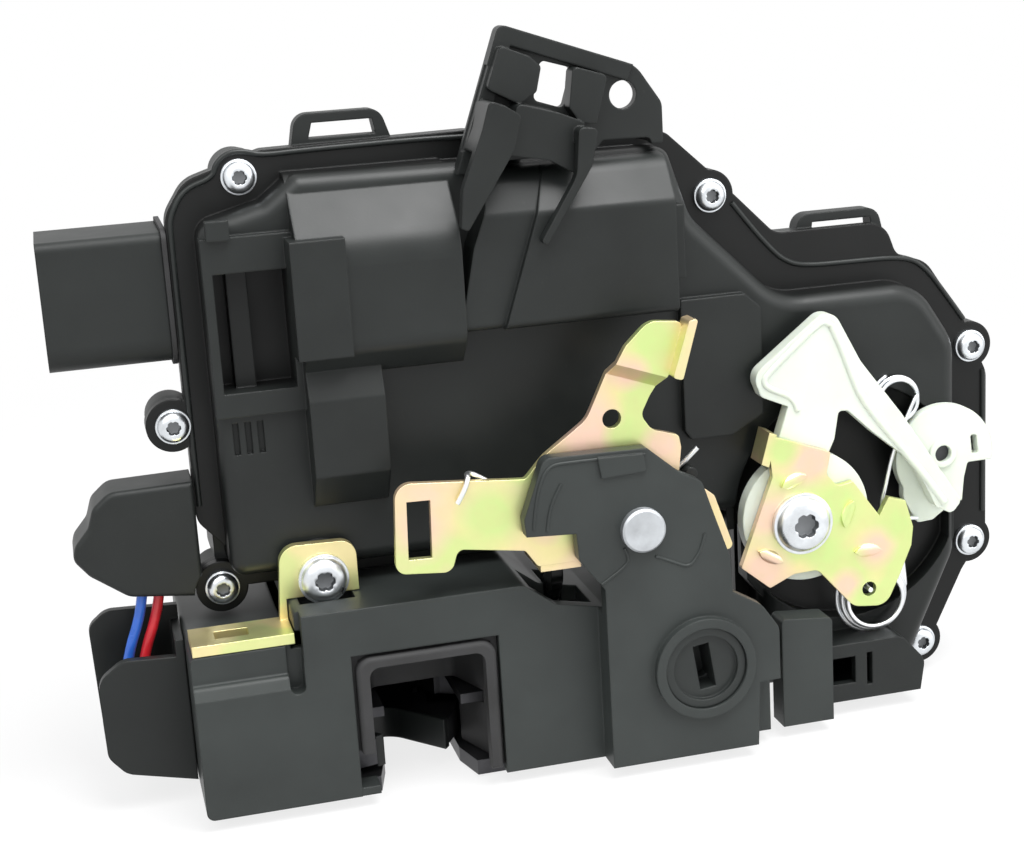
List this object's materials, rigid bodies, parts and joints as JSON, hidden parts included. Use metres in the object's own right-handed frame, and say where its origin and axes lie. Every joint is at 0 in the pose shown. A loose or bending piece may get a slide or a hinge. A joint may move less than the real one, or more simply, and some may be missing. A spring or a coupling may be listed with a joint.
{
  "type": "door latch actuator",
  "caption": "Vehicle door latch with a rotating claw and pawl, a screwed electric lock housing, release and lock levers, key coupling, plug socket and cable bracket.",
  "frame": {"origin": "where the axis of a parked striker bar meets the outer face of the steel plate that lies on the door's shut face", "axes": "+X along the shut face from the plug socket to the lock levers, +Y the way the striker enters, +Z from the shut face into the door, square to the steel plate"},
  "size_m": [0.1885, 0.0574, 0.141],
  "materials": {
    "black_plastic": "fine moulded texture",
    "grey_black_plastic": "fine moulded texture",
    "white_plastic": "smooth",
    "black_rubber": "matte",
    "gold_steel": "yellow zinc plating",
    "plain_steel": "zinc plating",
    "dark_steel": "oiled",
    "spring_steel": "drawn wire",
    "screw_steel": "yellow zinc plating",
    "brass": "stamped",
    "gear_plastic": "smooth",
    "blue_insulation": "smooth",
    "red_insulation": "smooth"
  },
  "bodies": {
    "housing": {"front_cover": "black_plastic", "rear_housing": "black_plastic", "housing_seal": "black_rubber", "cover_screws": "screw_steel", "connector_shroud": "grey_black_plastic", "connector_pins": "brass", "connector_seal": "black_rubber", "lead_frame": "brass", "latch_cover": "grey_black_plastic", "striker_liner": "black_rubber", "latch_plate": "dark_steel", "latch_back_plate": "dark_steel", "claw_pin": "plain_steel", "claw_spring": "spring_steel", "claw_bumper": "black_rubber", "pawl_pin": "plain_steel", "pawl_spring": "spring_steel", "lifter_pin": "plain_steel", "latch_switch": "black_plastic", "release_pin": "gold_steel", "release_spring": "spring_steel", "lock_spring": "spring_steel", "inner_stud": "plain_steel", "inner_spring": "spring_steel", "motor_can": "plain_steel", "motor_end_cap": "black_plastic", "wheel_axle": "plain_steel", "lock_switch": "black_plastic", "fixing_bracket": "gold_steel", "bracket_screw": "screw_steel", "cable_bracket": "black_plastic", "wire_outlet_cover": "black_plastic", "wire_guide": "grey_black_plastic", "blue_wire": "blue_insulation", "red_wire": "red_insulation"},
    "claw": {"claw": "dark_steel", "claw_sleeve": "black_plastic"},
    "pawl": {"pawl": "dark_steel"},
    "pawl_lifter": {"pawl_lifter": "grey_black_plastic"},
    "release_lever": {"release_lever": "gold_steel"},
    "lock_lever": {"lock_arm": "white_plastic", "lock_plate": "gold_steel", "lock_screw": "screw_steel", "lock_crank": "white_plastic"},
    "inner_lever": {"inner_lever": "white_plastic"},
    "key_coupling": {"key_coupling": "grey_black_plastic"},
    "motor_rotor": {"motor_shaft": "plain_steel", "worm": "brass"},
    "worm_wheel": {"worm_wheel": "gear_plastic"},
    "lock_slide": {"lock_slide": "gear_plastic"}
  },
  "joints": [
    {"name": "claw_turn", "type": "hinge", "parent": "housing", "child": "claw", "pos_m": [-0.01614, -0.00343, 0.0071], "axis": [0, 0, 1], "range_deg": [0, 62], "stiffness_Nm_per_rad": 0.02, "springref_deg": -22.92, "deforming": ["claw_spring"]},
    {"name": "outer_release", "type": "hinge", "parent": "housing", "child": "release_lever", "pos_m": [0.0412, -0.03165, 0.0489], "axis": [0, -1, 0], "range_deg": [0, 12], "stiffness_Nm_per_rad": 0.06, "springref_deg": -28.65, "deforming": ["release_spring"]},
    {"name": "pawl_lifter_turn", "type": "hinge", "parent": "housing", "child": "pawl_lifter", "pos_m": [0.0282, -0.004, 0.0204], "axis": [1, 0, 0], "range_deg": [0, 12.7]},
    {"name": "pawl_lift", "type": "hinge", "parent": "housing", "child": "pawl", "pos_m": [0.021, 0.006, 0.0071], "axis": [0, 0, -1], "range_deg": [0, 5.6], "deforming": ["pawl_spring"]},
    {"name": "lock_turn", "type": "hinge", "parent": "housing", "child": "lock_lever", "pos_m": [0.0776, -0.012, 0.0418], "axis": [0, 1, 0], "range_deg": [0, 18], "deforming": ["lock_spring"]},
    {"name": "wheel_turn", "type": "hinge", "parent": "housing", "child": "worm_wheel", "pos_m": [0.028, -0.011, 0.08375], "axis": [0, -1, 0], "range_deg": [0, 72.2]},
    {"name": "rotor_turn", "type": "hinge", "parent": "housing", "child": "motor_rotor", "pos_m": [0.028, -0.011, 0.0985], "axis": [1, 0, 0], "range_deg": [0, 1300]},
    {"name": "slide_travel", "type": "slide", "parent": "housing", "child": "lock_slide", "axis": [1, 0, 0], "range_m": [0, 0.00945]},
    {"name": "key_turn", "type": "hinge", "parent": "housing", "child": "key_coupling", "pos_m": [0.0524, -0.034, 0.0199], "axis": [0, 1, 0], "range_deg": [0, 45.2]},
    {"name": "inner_turn", "type": "hinge", "parent": "housing", "child": "inner_lever", "pos_m": [0.1108, -0.0172, 0.0503], "axis": [0, 1, 0], "range_deg": [0, 15], "deforming": ["inner_spring"]}
  ],
  "couplings": [
    {"joint": "pawl_lifter_turn", "follows": "outer_release", "ratio": 1.05},
    {"joint": "pawl_lift", "follows": "outer_release", "ratio": 0.45},
    {"joint": "wheel_turn", "follows": "lock_turn", "ratio": 4},
    {"joint": "rotor_turn", "follows": "lock_turn", "ratio": 72},
    {"joint": "slide_travel", "follows": "lock_turn", "m_per_rad": 0.03},
    {"joint": "key_turn", "follows": "lock_turn", "ratio": 2.5}
  ]
}
